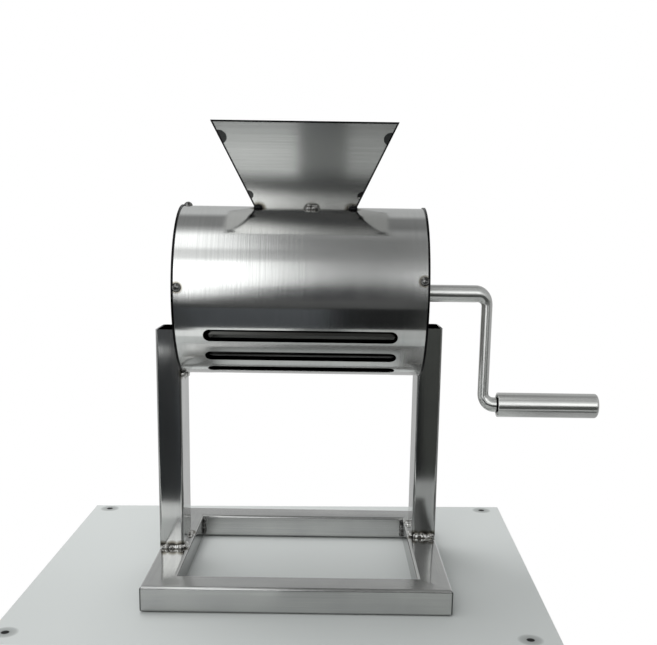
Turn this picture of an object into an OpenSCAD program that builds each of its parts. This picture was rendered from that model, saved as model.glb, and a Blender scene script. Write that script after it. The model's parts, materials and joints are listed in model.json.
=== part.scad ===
// Hand-cranked peanut sheller in stainless steel. Millimetres, Z up, the crank on the +X side.
// X runs along the drum axis, Y runs from the front of the base to its back.
// The origin is under the middle of the whole outline, crank included, on the table.

/* [Base frame] */
// width of the base over its side rails
base_w = 286; // [240:1:340]
// depth of the base from front to back
base_d = 248; // [210:1:300]
// width of a base rail seen from above
rail_w = 30; // [25:0.5:38]
// height of a base rail
rail_h = 25; // [20:0.5:35]
// sheet thickness of all the square tube
tube_wall = 1.5; // [1:0.1:2.5]
// outer corner radius of all the square tube
tube_corner = 3; // [2:0.1:4]

/* [Uprights] */
// width of an upright across the drum
upright_w = 25; // [20:0.5:30]
// depth of an upright from front to back
upright_d = 50; // [40:0.5:60]
// length of an upright above the base
upright_l = 223; // [205:1:232]
// front face of the left upright
left_front_y = -18; // [-30:0.5:-10]
// front face of the right upright, which stands further back
right_front_y = 27; // [10:0.5:32]

/* [Drum] */
// outside diameter of the rolled shell
drum_d = 164; // [155:1:170]
// sheet thickness of the shell
shell_wall = 1.5; // [1:0.1:2.5]
// drum axis behind the middle of the base
axis_y = 10; // [0:0.5:20]
// drum axis above the table
axis_z = 285; // [278:0.5:300]
// end plate thickness
plate_t = 2; // [1.5:0.1:3]
// how far an end plate stands out past the shell all round
plate_lip = 1; // [0.5:0.1:2]

/* [Shelling slots] */
// length of a slot over its round ends
slot_l = 181; // [150:1:190]
// width of a slot
slot_w = 13; // [10:0.5:15]
// angle from one slot to the next
slot_step = 18; // [16:0.5:19]
// angle of the first slot below the front of the drum
first_slot = 27; // [25:0.5:30]
// number of slots, counted from the front towards the lowest line of the drum
slot_count = 4; // [3:1:6]

/* [Hopper] */
// middle of the hopper from the middle of the drum, towards the crank
hopper_x = 2.3; // [-8:0.1:8]
// width of the throat on the drum
throat_w = 97; // [85:1:115]
// depth of the throat on the drum
throat_d = 36; // [30:1:44]
// how far the left and right sides lean out from the throat to the rim
side_lean = 36; // [20:0.5:40]
// how far the front and rear lean out from the throat to the rim
front_lean = 50; // [20:0.5:56]
// height of the hopper above the throat
hopper_h = 75; // [60:1:95]
// sheet thickness of the hopper
hopper_wall = 1.2; // [0.8:0.1:2]

/* [Crank] */
// diameter of the shaft and of the stub outside the drum
shaft_d = 17; // [14:0.5:19]
// diameter of the crank arm, drawn down thinner than the shaft
arm_d = 11; // [9:0.5:13]
// diameter of the spindle under the grip
spindle_d = 15; // [13:0.5:16]
// distance from the drum axis to the grip axis
throw = 112; // [90:1:125]
// distance from the drum's right end to the arm
arm_reach = 66; // [55:1:80]
// bend radius of the rod on its centre line
bend_r = 12; // [11:0.5:15]
// length of the grip
grip_l = 102; // [90:0.5:125]
// outside diameter of the grip
grip_d = 25; // [24:0.5:30]
// wall of the grip sleeve
grip_wall = 2; // [1.5:0.1:2.4]
// distance from the arm to the near end of the grip
grip_start = 14.5; // [13:0.5:20]

/* [Rotor] */
// outside diameter of the rotor tube that rubs the pods against the shell
rotor_d = 132; // [124:1:138]
// wall of the rotor tube
rotor_wall = 1.5; // [1:0.1:2.5]
// diameter of the bar stock that the rubbing bars are cut from
bar_d = 8; // [6:0.5:10]
// number of rubbing bars round the rotor tube
bar_count = 6; // [4:1:8]
// thickness of a spider plate
spider_t = 3; // [2:0.5:5]

/* [Fits] */
// running clearance of a shaft in its bush, on the radius
run_gap = 0.05; // [0.03:0.01:0.1]
// clearance of a welded or pressed piece on its seat, on the radius
seat_gap = 0.05; // [0.02:0.01:0.1]
// end play between turning and fixed faces
end_gap = 0.4; // [0.3:0.1:0.8]
// leg of a fillet weld
weld_leg = 4; // [3:0.5:5]
// length of the bead at the middle of the hopper's foot
foot_bead_l = 16; // [12:0.5:24]
// place of that bead from the middle of the hopper, towards the crank
foot_bead_x = 6; // [-20:0.5:20]
// distance of a domed tack from the end of the shell
tack_inset = 3; // [2:0.5:6]

/* [Hidden] */
$fn = 96;
fine = 360;
tiny = 0.01;
big = 1000;
half_w = base_w / 2;
half_d = base_d / 2;
drum_r = drum_d / 2;
bore_r = drum_r - shell_wall;
plate_r = drum_r + plate_lip;
upright_x = half_w - upright_w;
shell_half = upright_x - plate_t;
top_z = rail_h + upright_l;
front_angle = atan(front_lean / hopper_h);
side_angle = atan(side_lean / hopper_h);
throat_z = axis_z + sqrt(drum_r * drum_r - throat_d * throat_d / 4);
rim_z = throat_z + hopper_h;
front_panel_l = hopper_h / cos(front_angle);
side_panel_l = hopper_h / cos(side_angle);
panel_drop = 8;
arm_x = upright_x + arm_reach;
spindle_z = axis_z - throw;
grip_x0 = arm_x + grip_start;
grip_x1 = grip_x0 + grip_l;
frame_x = -(grip_x1 - half_w) / 2;
bush_d = shaft_d + 14;
bush_neck_d = shaft_d + 7;
bush_in = 12;
collar_l = 10;
collar_x = shell_half - bush_in - end_gap;
spider_x = collar_x - collar_l - 4;
rotor_r = rotor_d / 2;
rotor_half = spider_x + spider_t;
spider_arm_w = 20;
collar_wall = 6.5;
set_screw_d = 5;
set_screw_seat = 1.5;
cap_t = 3;
mouth = 3;
stop_t = 2.5;
grip_bush_l = 12;
spindle_x1 = grip_x1 - 16;
screw_d = 6;
screw_l = 18;
steel = [0.74, 0.75, 0.75];
dark_steel = [0.42, 0.41, 0.40];
bronze = [0.66, 0.54, 0.33];
nylon = [0.86, 0.85, 0.80];

// Shared shapes

// everything is drawn about the drum's middle and moved so that the outline is centred
module place() {
    translate([frame_x, 0, 0]) children();
}

// round-cornered rectangle, centred
module soft_rect(w, h, r) {
    square([w - 2 * r, h], center = true);
    square([w, h - 2 * r], center = true);
    for (sx = [-1, 1]) {
        for (sy = [-1, 1]) {
            translate([sx * (w / 2 - r), sy * (h / 2 - r)]) circle(r);
        }
    }
}

// wall section of a rectangular tube, centred
module tube_section(w, h) {
    difference() {
        soft_rect(w, h, tube_corner);
        soft_rect(w - 2 * tube_wall, h - 2 * tube_wall, tube_corner - tube_wall + 0.2);
    }
}

// one base rail along X with both ends mitred, its outer side on Y = 0
module mitred_rail(l) {
    intersection() {
        translate([-l / 2, rail_w / 2, rail_h / 2])
            rotate([90, 0, 90])
            linear_extrude(l) tube_section(rail_w, rail_h);
        translate([0, 0, -1])
            linear_extrude(rail_h + 2)
            polygon([[-l / 2, 0], [l / 2, 0], [l / 2 - rail_w, rail_w], [rail_w - l / 2, rail_w]]);
    }
}

// cylinder along X between two places
module rod_x(x0, x1, d) {
    translate([x0, 0, 0]) rotate([0, 90, 0]) cylinder(h = x1 - x0, d = d);
}

// taper along X between two places
module taper_x(x0, x1, d0, d1) {
    translate([x0, 0, 0]) rotate([0, 90, 0]) cylinder(h = x1 - x0, d1 = d0, d2 = d1);
}

// ring along X between two places
module ring_x(x0, x1, d_out, d_in) {
    difference() {
        rod_x(x0, x1, d_out);
        rod_x(x0 - 1, x1 + 1, d_in);
    }
}

// move to the drum axis
module at_axis() {
    translate([0, axis_y, axis_z]) children();
}

// turn a place under the axis to an angle on the shell, 0 at the front and 90 at the bottom
module at_angle(a) {
    rotate([a - 90, 0, 0]) children();
}

// quarter-round fillet along X in the corner of a wall at Y = 0 and a floor at Z = 0, filling -Y and +Z
module fillet_x(x0, x1, r) {
    intersection() {
        rod_x(x0, x1, 2 * r);
        translate([x0, -r, 0]) cube([x1 - x0, r, r]);
    }
}

// Base frame

module front_rail() {
    color(steel) place() translate([0, -half_d, 0]) mitred_rail(base_w);
}

module rear_rail() {
    color(steel) place() rotate([0, 0, 180]) translate([0, -half_d, 0]) mitred_rail(base_w);
}

module left_rail() {
    color(steel) place() rotate([0, 0, -90]) translate([0, -half_w, 0]) mitred_rail(base_d);
}

module right_rail() {
    color(steel) place() rotate([0, 0, 90]) translate([0, -half_w, 0]) mitred_rail(base_d);
}

// upright bead in each inside corner of the base
module base_corner_welds() {
    color(dark_steel) place() for (sx = [-1, 1]) {
        for (sy = [-1, 1]) {
            translate([sx * (half_w - rail_w), sy * (half_d - rail_w), tube_corner + 0.5])
                intersection() {
                    cylinder(h = rail_h - 2 * tube_corner - 1, r = weld_leg * 0.75);
                    translate([sx > 0 ? -big : 0, sy > 0 ? -big : 0, -1]) cube([big, big, rail_h + 2]);
                }
        }
    }
}

// Uprights

module upright(sx, y0) {
    translate([sx * (half_w - upright_w / 2), y0 + upright_d / 2, rail_h])
        linear_extrude(upright_l) tube_section(upright_w, upright_d);
}

module left_upright() {
    color(steel) place() upright(-1, left_front_y);
}

module right_upright() {
    color(steel) place() upright(1, right_front_y);
}

// beads across the front, the back and the inner side of each foot
module foot_beads(sx, y0) {
    flat = upright_w - 2 * tube_corner;
    translate([sx * (half_w - upright_w / 2), y0, rail_h]) fillet_x(-flat / 2, flat / 2, weld_leg);
    translate([sx * (half_w - upright_w / 2), y0 + upright_d, rail_h])
        rotate([0, 0, 180]) fillet_x(-flat / 2, flat / 2, weld_leg);
}

module upright_foot_welds() {
    color(dark_steel) place() {
        foot_beads(-1, left_front_y);
        foot_beads(1, right_front_y);
    }
}

// Drum

// a slot lying along X with round ends, cut straight down through the wall
module slot_cut() {
    half = slot_l / 2 - slot_w / 2;
    translate([-half, -slot_w / 2, -drum_r - 5]) cube([2 * half, slot_w, drum_r * 0.5]);
    for (sx = [-1, 1]) {
        translate([sx * half, 0, -drum_r - 5]) cylinder(h = drum_r * 0.5, d = slot_w);
    }
}

module drum_shell() {
    color(steel) place() at_axis() difference() {
        rod_x(-shell_half, shell_half, drum_d);
        rod_x(-shell_half - 1, shell_half + 1, 2 * bore_r);
        for (i = [0 : slot_count - 1]) {
            at_angle(first_slot + i * slot_step) slot_cut();
        }
        translate([hopper_x - throat_w / 2 + 2, -throat_d / 2 + 2, drum_r * 0.6])
            cube([throat_w - 4, throat_d - 4, drum_r]);
    }
}

module end_plate(sx) {
    at_axis() ring_x(
        sx > 0 ? shell_half : -upright_x,
        sx > 0 ? upright_x : -shell_half,
        2 * plate_r,
        bush_neck_d + 2 * seat_gap
    );
}

module left_end_plate() {
    color(steel) place() end_plate(-1);
}

module right_end_plate() {
    color(steel) place() end_plate(1);
}

// domed tack over the joint of the shell and an end plate
module shell_tack(x, a) {
    at_angle(a) translate([x, 0, -drum_r + 1.2]) sphere(r = weld_leg * 1.2);
}

module drum_tack_welds() {
    color(dark_steel) place() at_axis() difference() {
        union() {
            for (a = [-90, -5, 175]) {
                shell_tack(-shell_half + tack_inset, a);
            }
            for (a = [-11, 169]) {
                shell_tack(shell_half - tack_inset, a);
            }
        }
        rod_x(-shell_half, shell_half, drum_d, $fn = fine);
        rod_x(-shell_half - 10, -shell_half, 2 * plate_r, $fn = fine);
        rod_x(shell_half, shell_half + 10, 2 * plate_r, $fn = fine);
    }
}

// bead where the rim of an end plate meets the inner face of its upright
module rim_bead(sx, y) {
    dy = y - axis_y;
    dz = sqrt(plate_r * plate_r - dy * dy);
    difference() {
        translate([sx * (upright_x - 1), y, axis_z - dz - 0.5]) sphere(r = 5);
        at_axis() rod_x(-upright_x - 1, upright_x + 1, 2 * plate_r, $fn = fine);
        translate([sx > 0 ? upright_x : -upright_x - 20, y - 20, axis_z - dz - 30]) cube([20, 40, 60]);
    }
}

module drum_upright_welds() {
    color(dark_steel) place() {
        for (f = [0.12, 0.5, 0.88]) {
            rim_bead(-1, left_front_y + f * upright_d);
        }
        for (f = [0.12, 0.5, 0.88]) {
            rim_bead(1, right_front_y + f * upright_d);
        }
    }
}

// Hopper

// move to the throat's middle, on the line where the panels meet the drum
module at_throat() {
    translate([hopper_x, axis_y, throat_z]) children();
}

// half-space outside the front panel, or the rear panel for sy = 1, set inward by inset
module lean_block_y(sy, inset) {
    translate([0, sy * throat_d / 2, 0])
        rotate([-sy * front_angle, 0, 0])
        translate([-big / 2, sy > 0 ? -inset : -big + inset, -big / 2])
        cube([big, big, big]);
}

// half-space outside the left panel, or the right panel for sx = 1, set inward by inset
module lean_block_x(sx, inset) {
    translate([sx * throat_w / 2, 0, 0])
        rotate([0, sx * side_angle, 0])
        translate([sx > 0 ? -inset : -big + inset, -big / 2, -big / 2])
        cube([big, big, big]);
}

// the drum as a cutter for what is welded on it
module drum_cut(clear) {
    at_axis() rod_x(-big / 2, big / 2, drum_d + 2 * clear, $fn = fine);
}

// flat panel that leans out along Y, cut to the drum below
module long_panel(sy) {
    low = throat_w / 2 - panel_drop * side_lean / front_panel_l;
    high = throat_w / 2 + side_lean;
    difference() {
        at_throat()
            translate([0, sy * throat_d / 2, 0])
            rotate([-sy * front_angle, 0, 0])
            translate([0, sy > 0 ? 0 : hopper_wall, 0])
            rotate([90, 0, 0])
            linear_extrude(hopper_wall)
            polygon([[-low, -panel_drop], [low, -panel_drop], [high, front_panel_l], [-high, front_panel_l]]);
        drum_cut(seat_gap);
    }
}

// flat panel that leans out along X, set between the long panels
module short_panel(sx) {
    low = throat_d / 2 - panel_drop * front_lean / side_panel_l;
    high = throat_d / 2 + front_lean;
    difference() {
        at_throat() difference() {
            translate([sx * throat_w / 2, 0, 0])
                rotate([0, sx * side_angle, 0])
                translate([sx > 0 ? -hopper_wall : 0, 0, 0])
                rotate([90, 0, 90])
                linear_extrude(hopper_wall)
                polygon([[-low, -panel_drop], [low, -panel_drop], [high, side_panel_l], [-high, side_panel_l]]);
            lean_block_y(-1, hopper_wall);
            lean_block_y(1, hopper_wall);
        }
        drum_cut(seat_gap);
    }
}

module hopper_front_panel() {
    color(steel) place() long_panel(-1);
}

module hopper_rear_panel() {
    color(steel) place() long_panel(1);
}

module hopper_left_panel() {
    color(steel) place() short_panel(-1);
}

module hopper_right_panel() {
    color(steel) place() short_panel(1);
}

// inside tack that holds a side panel to the front or rear panel
module seam_tack(sx, sy, h) {
    side_grow = side_lean * h / hopper_h - hopper_wall / cos(side_angle);
    front_grow = front_lean * h / hopper_h - hopper_wall / cos(front_angle);
    at_throat() difference() {
        translate([sx * (throat_w / 2 + side_grow), sy * (throat_d / 2 + front_grow), h])
            sphere(r = weld_leg * 0.75);
        lean_block_y(sy, hopper_wall);
        lean_block_x(sx, hopper_wall);
    }
}

module hopper_seam_tacks() {
    color(dark_steel) place() for (sx = [-1, 1]) {
        for (sy = [-1, 1]) {
            for (h = [0.16, 0.82]) {
                seam_tack(sx, sy, h * hopper_h);
            }
        }
    }
}

// short bead on the drum at the foot of a long panel
module foot_bead(x, sy, l, r) {
    difference() {
        at_throat() difference() {
            translate([x, sy * (throat_d / 2 + 0.6), 0.6]) {
                rod_x(r - l / 2, l / 2 - r, 2 * r);
                translate([r - l / 2, 0, 0]) sphere(r = r);
                translate([l / 2 - r, 0, 0]) sphere(r = r);
            }
            translate([0, sy * throat_d / 2, 0])
                rotate([-sy * front_angle, 0, 0])
                translate([-big / 2, sy > 0 ? -big : 0, -big / 2])
                cube([big, big, big]);
        }
        drum_cut(0);
    }
}

module hopper_foot_welds() {
    end_r = weld_leg * 0.75;
    color(dark_steel) place() for (sy = [-1, 1]) {
        foot_bead(foot_bead_x, sy, foot_bead_l, weld_leg * 1.15);
        for (sx = [-1, 1]) {
            foot_bead(sx * (throat_w / 2 - end_r), sy, 3 * end_r, end_r);
        }
    }
}

// Bearings

// turned bush, its neck in the end plate and its shoulder on the plate's inner face
module bush(sx) {
    at_axis() difference() {
        union() {
            rod_x(sx > 0 ? shell_half - bush_in : -shell_half, sx > 0 ? shell_half : bush_in - shell_half, bush_d);
            rod_x(sx > 0 ? shell_half - 1 : -upright_x, sx > 0 ? upright_x : 1 - shell_half, bush_neck_d);
        }
        rod_x(-big / 2, big / 2, shaft_d + 2 * run_gap);
    }
}

module left_bush() {
    color(bronze) place() bush(-1);
}

module right_bush() {
    color(bronze) place() bush(1);
}

// Crank and rotor

// quarter bend in the XZ plane about the origin, from pointing up to pointing along +X
module bend(d) {
    rotate([90, 0, 0]) rotate_extrude(angle = 90) translate([bend_r, 0]) circle(d = d);
}

module crank_shaft() {
    up_d = (shaft_d + arm_d) / 2;
    low_d = (spindle_d + arm_d) / 2;
    stub_x = arm_x - bend_r;
    arm_top = throw - bend_r;
    color(steel) place() at_axis() difference() {
        union() {
            rod_x(-upright_x + 0.5, stub_x - 7.5, shaft_d);
            taper_x(stub_x - 7.5, stub_x, shaft_d, up_d);
            translate([stub_x, 0, -bend_r]) bend(up_d);
            translate([arm_x, 0, -bend_r - 12]) cylinder(h = 12, d1 = arm_d, d2 = up_d);
            translate([arm_x, 0, -arm_top + 8]) cylinder(h = arm_top - bend_r - 20, d = arm_d);
            translate([arm_x, 0, -arm_top]) cylinder(h = 8, d1 = low_d, d2 = arm_d);
            translate([arm_x + bend_r, 0, -arm_top]) rotate([0, 180, 0]) bend(low_d);
            translate([0, 0, -throw]) {
                taper_x(arm_x + bend_r, grip_x0 + mouth - 1, low_d, spindle_d);
                rod_x(grip_x0 + mouth - 1, spindle_x1, spindle_d);
            }
        }
        translate([0, 0, -throw]) rod_x(spindle_x1 - screw_l, spindle_x1 + 1, screw_d + 2 * seat_gap);
        for (sx = [-1, 1]) {
            translate([sx * (collar_x - collar_l / 2), 0, shaft_d / 2 - set_screw_seat]) cylinder(h = 10, d = set_screw_d + 1.2);
        }
    }
}

// thin tube that carries the rubbing bars
module rotor_tube() {
    color(steel) place() at_axis() ring_x(-rotor_half, rotor_half, rotor_d, rotor_d - 2 * rotor_wall);
}

// cross-shaped plate on the shaft that holds one end of the rotor tube
module spider(sx) {
    x0 = sx > 0 ? spider_x : -spider_x - spider_t;
    at_axis() difference() {
        translate([x0, 0, 0]) rotate([90, 0, 90]) linear_extrude(spider_t) intersection() {
            circle(r = rotor_r - rotor_wall - seat_gap, $fn = fine);
            union() {
                circle(r = shaft_d * 1.4);
                square([rotor_d, spider_arm_w], center = true);
                square([spider_arm_w, rotor_d], center = true);
            }
        }
        rod_x(-big / 2, big / 2, shaft_d + 2 * seat_gap);
    }
}

module left_spider() {
    color(steel) place() spider(-1);
}

module right_spider() {
    color(steel) place() spider(1);
}

// bars hollowed to sit on the rotor tube along its whole length
module rubbing_bars() {
    color(steel) place() at_axis() difference() {
        for (i = [0 : bar_count - 1]) {
            rotate([i * 360 / bar_count, 0, 0]) translate([0, rotor_r, 0]) rod_x(-rotor_half, rotor_half, bar_d);
        }
        rod_x(-rotor_half - 1, rotor_half + 1, rotor_d, $fn = fine);
    }
}

module collar(sx) {
    at_axis() difference() {
        ring_x(
            sx > 0 ? collar_x - collar_l : -collar_x,
            sx > 0 ? collar_x : collar_l - collar_x,
            shaft_d + 2 * collar_wall,
            shaft_d + 2 * seat_gap
        );
        translate([sx * (collar_x - collar_l / 2), 0, 0]) cylinder(h = 40, d = set_screw_d + 2 * seat_gap);
    }
}

module left_collar() {
    color(steel) place() collar(-1);
}

module right_collar() {
    color(steel) place() collar(1);
}

// headless set screws through the collars into flats on the shaft
module collar_screws() {
    color(dark_steel) place() at_axis() for (sx = [-1, 1]) {
        translate([sx * (collar_x - collar_l / 2), 0, shaft_d / 2 - set_screw_seat]) difference() {
            cylinder(h = collar_wall + 1, d = set_screw_d);
            translate([0, 0, collar_wall - 1.5]) cylinder(h = 5, d = set_screw_d / 2 / cos(30), $fn = 6);
        }
    }
}

// Grip

module at_spindle() {
    translate([0, axis_y, spindle_z]) children();
}

module grip_stop_ring() {
    color(steel) place() at_spindle() ring_x(
        grip_x0 + mouth,
        grip_x0 + mouth + stop_t,
        grip_d - 2 * grip_wall - 0.8,
        spindle_d + 2 * seat_gap
    );
}

module grip_washer() {
    color(steel) place() at_spindle() ring_x(
        spindle_x1,
        spindle_x1 + 1.6,
        spindle_d + 4.6,
        screw_d + 2 * seat_gap
    );
}

module grip_screw() {
    color(dark_steel) place() at_spindle() difference() {
        union() {
            rod_x(spindle_x1 - screw_l + 2, spindle_x1 + 2, screw_d);
            rod_x(spindle_x1 + 1.6, spindle_x1 + 6, 10);
        }
        translate([spindle_x1 + 3.5, 0, 0]) rotate([0, 90, 0]) cylinder(h = 5, d = 4 / cos(30), $fn = 6);
    }
}

// drawn sleeve with a rolled lip at the mouth
module grip_sleeve() {
    lip = grip_wall / 2;
    color(steel) place() at_spindle() translate([grip_x0, 0, 0]) rotate([0, 90, 0]) rotate_extrude() {
        translate([grip_d / 2 - grip_wall, lip]) square([grip_wall, grip_l - cap_t - lip]);
        translate([grip_d / 2 - lip, lip]) circle(r = lip);
    }
}

// plain bearing pressed into the sleeve
module grip_bush(x0) {
    at_spindle() ring_x(x0, x0 + grip_bush_l, grip_d - 2 * grip_wall, spindle_d + 2 * run_gap);
}

module grip_inner_bush() {
    color(nylon) place() grip_bush(grip_x0 + mouth + stop_t + end_gap);
}

module grip_outer_bush() {
    color(nylon) place() grip_bush(spindle_x1 - end_gap - grip_bush_l);
}

// end disc welded on and dressed round
module grip_end_cap() {
    color(steel) place() at_spindle() translate([grip_x1 - cap_t, 0, 0]) rotate([0, 90, 0]) rotate_extrude() {
        square([grip_d / 2 - cap_t, cap_t]);
        intersection() {
            translate([grip_d / 2 - cap_t, 0]) circle(r = cap_t);
            translate([grip_d / 2 - cap_t - tiny, 0]) square([cap_t + tiny, cap_t]);
        }
    }
}

front_rail();
rear_rail();
left_rail();
right_rail();
base_corner_welds();
left_upright();
right_upright();
upright_foot_welds();
drum_shell();
left_end_plate();
right_end_plate();
drum_tack_welds();
drum_upright_welds();
hopper_front_panel();
hopper_rear_panel();
hopper_left_panel();
hopper_right_panel();
hopper_seam_tacks();
hopper_foot_welds();
left_bush();
right_bush();
crank_shaft();
rotor_tube();
left_spider();
right_spider();
rubbing_bars();
left_collar();
right_collar();
collar_screws();
grip_stop_ring();
grip_washer();
grip_screw();
grip_sleeve();
grip_inner_bush();
grip_outer_bush();
grip_end_cap();
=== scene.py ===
import json
import math

import bmesh
import bpy
from mathutils import Matrix, Vector
from mathutils.geometry import delaunay_2d_cdt

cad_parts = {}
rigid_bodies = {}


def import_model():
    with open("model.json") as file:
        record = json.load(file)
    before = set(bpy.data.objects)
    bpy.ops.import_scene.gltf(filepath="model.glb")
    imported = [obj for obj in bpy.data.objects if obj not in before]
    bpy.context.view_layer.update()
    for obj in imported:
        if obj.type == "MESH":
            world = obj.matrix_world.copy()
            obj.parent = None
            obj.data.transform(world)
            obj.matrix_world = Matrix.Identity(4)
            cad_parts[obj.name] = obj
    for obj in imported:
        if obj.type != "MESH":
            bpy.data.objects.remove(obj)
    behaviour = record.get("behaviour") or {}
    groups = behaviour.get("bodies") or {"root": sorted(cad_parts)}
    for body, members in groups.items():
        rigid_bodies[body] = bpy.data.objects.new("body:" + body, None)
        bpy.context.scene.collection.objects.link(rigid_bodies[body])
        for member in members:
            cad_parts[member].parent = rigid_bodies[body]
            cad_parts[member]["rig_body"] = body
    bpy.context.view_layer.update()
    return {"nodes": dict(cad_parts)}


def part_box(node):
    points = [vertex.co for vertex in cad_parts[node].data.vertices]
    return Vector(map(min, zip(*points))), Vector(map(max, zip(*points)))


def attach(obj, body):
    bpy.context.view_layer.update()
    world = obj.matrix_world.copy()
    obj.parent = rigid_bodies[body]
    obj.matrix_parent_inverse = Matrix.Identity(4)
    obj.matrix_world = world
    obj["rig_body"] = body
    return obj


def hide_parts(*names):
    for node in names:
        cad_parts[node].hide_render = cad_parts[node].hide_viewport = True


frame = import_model()

# BASE RAILS
# Four lengths of 30 x 25 mm stainless tube, mitred at the corners and welded into an open frame.
# The tube is sold with a fine lengthwise satin grain and has 3 mm rounded edges that catch the light.


def linear(hex_colour):
    """sRGB hex to the linear colour that a shader takes."""
    parts = [int(hex_colour[i:i + 2], 16) / 255 for i in (1, 3, 5)]
    return tuple(c / 12.92 if c <= 0.04045 else ((c + 0.055) / 1.055) ** 2.4 for c in parts) + (1.0,)


def add(tree, kind, inputs=None, **settings):
    """Adds one node with its settings, and sets or links its inputs."""
    node = tree.nodes.new(kind)
    for name, value in settings.items():
        setattr(node, name, value)
    for name, value in (inputs or {}).items():
        if isinstance(value, bpy.types.NodeSocket):
            tree.links.new(value, node.inputs[name])
        else:
            node.inputs[name].default_value = value
    return node


def bare_material(name):
    """A new material with an empty node tree, and that tree."""
    material = bpy.data.materials.new(name)
    material.use_nodes = True
    material.node_tree.nodes.clear()
    return material, material.node_tree


def put_in_scene(name, data):
    """Makes an object of a mesh, a lamp or a camera and links it to the scene."""
    thing = bpy.data.objects.new(name, data)
    bpy.context.scene.collection.objects.link(thing)
    return thing


def nearest(tree, place, spots):
    """The least distance from a place to any of the (spot, reach) pairs, as a share of that spot's reach."""
    least = None
    for spot, reach in spots:
        away = add(tree, "ShaderNodeVectorMath", {0: place, 1: spot}, operation="DISTANCE")
        part = add(tree, "ShaderNodeMath", {0: away.outputs["Value"], 1: reach}, operation="DIVIDE").outputs[0]
        if least is not None:
            part = add(tree, "ShaderNodeMath", {0: least, 1: part}, operation="MINIMUM").outputs[0]
        least = part
    return least


cloud_width = 0.045
tint_shades = ((0.30, "#2e2c2b"), (0.55, "#5d5852"), (0.74, "#b1aca2"), (1.0, "#ffffff"))


def satin_stainless(name, grain, light="#cbcbc9", dark="#bababa", rough=(0.22, 0.28), heat=(),
                    shades=tint_shades, tooth=0.03, across=None, smear=0.8):
    """Stainless steel with a directional grain: streaks in tone and gloss, and heat colour near its welds.
    grain is the length in metres that the streaks run along x, y and z; heat holds (spot, reach) pairs;
    tooth is how strongly the grain stands up from the face; across works out the direction across the scratches,
    in which they smear what the steel mirrors, and smear is how far they do."""
    material, tree = bare_material(name)
    place = add(tree, "ShaderNodeTexCoord").outputs["Object"]
    run = add(tree, "ShaderNodeMapping", {"Vector": place, "Scale": tuple(1 / g for g in grain)})
    lines = add(tree, "ShaderNodeTexNoise", {
        "Vector": run.outputs[0], "Scale": 1.0, "Detail": 4.0, "Roughness": 0.62,
    })
    cloud = add(tree, "ShaderNodeTexNoise", {
        "Vector": place, "Scale": 1 / cloud_width, "Detail": 3.0, "Roughness": 0.5,
    })
    tone = add(tree, "ShaderNodeMath", {0: lines.outputs["Fac"], 1: cloud.outputs["Fac"]}, operation="ADD")
    share = add(tree, "ShaderNodeMapRange", {"Value": tone.outputs[0], "From Min": 0.7, "From Max": 1.3})
    paint = add(tree, "ShaderNodeMix", {
        "Factor": share.outputs[0], "A": linear(dark), "B": linear(light),
    }, data_type="RGBA").outputs["Result"]
    gloss = add(tree, "ShaderNodeMapRange", {
        "Value": lines.outputs["Fac"], "From Min": 0.3, "From Max": 0.7, "To Min": rough[1], "To Max": rough[0],
    })
    if heat:
        ragged = add(tree, "ShaderNodeMath", {0: cloud.outputs["Fac"], 1: 0.3, 2: -0.15}, operation="MULTIPLY_ADD")
        edge = add(tree, "ShaderNodeMath", {0: nearest(tree, place, heat), 1: ragged.outputs[0]}, operation="ADD")
        tint = add(tree, "ShaderNodeValToRGB", {"Fac": edge.outputs[0]})
        stops = tint.color_ramp.elements
        stops.remove(stops[1])
        for number, (where, shade) in enumerate(shades):
            stop = stops[0] if number == 0 else stops.new(where)
            stop.position, stop.color = where, linear(shade)
        paint = add(tree, "ShaderNodeMix", {"Factor": 1.0, "A": paint, "B": tint.outputs["Color"]},
                    data_type="RGBA", blend_type="MULTIPLY").outputs["Result"]
    height = add(tree, "ShaderNodeBump", {"Height": lines.outputs["Fac"], "Strength": tooth, "Distance": 0.0002})
    shader = add(tree, "ShaderNodeBsdfPrincipled", {
        "Base Color": paint, "Metallic": 1.0, "Roughness": gloss.outputs[0], "Normal": height.outputs[0],
    })
    if across:
        shader.inputs["Anisotropic"].default_value = smear
        tree.links.new(across(tree, place), shader.inputs["Tangent"])
    add(tree, "ShaderNodeOutputMaterial", {"Surface": shader.outputs[0]})
    return material


def scratched_along(x, y, z):
    """Scratches that follow an axis: the smear runs square to it, in the face."""
    def across(tree, place):
        facing = add(tree, "ShaderNodeNewGeometry").outputs["Normal"]
        return add(tree, "ShaderNodeVectorMath", {0: (x, y, z), 1: facing}, operation="CROSS_PRODUCT").outputs[0]
    return across


def darken(material, amount, shade):
    """Mixes a dark shade over a finished steel, by the amount that a function works out from the place."""
    tree = material.node_tree
    shader = next(node for node in tree.nodes if node.type == "BSDF_PRINCIPLED")
    paint = shader.inputs["Base Color"].links[0].from_socket
    place = add(tree, "ShaderNodeTexCoord").outputs["Object"]
    mixed = add(tree, "ShaderNodeMix", {
        "Factor": amount(tree, place), "A": paint, "B": linear(shade),
    }, data_type="RGBA")
    tree.links.new(mixed.outputs["Result"], shader.inputs["Base Color"])


def from_the_middle(tree, place, letter, middle):
    """How far a place lies from a middle plane, along the axis that letter names."""
    part = add(tree, "ShaderNodeSeparateXYZ", {"Vector": place}).outputs[letter]
    off = add(tree, "ShaderNodeMath", {0: part, 1: middle}, operation="SUBTRACT")
    return add(tree, "ShaderNodeMath", {0: off.outputs[0]}, operation="ABSOLUTE").outputs[0]


def body_of(node):
    """The moving body that a CAD node belongs to."""
    return frame["nodes"][node]["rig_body"]


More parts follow.
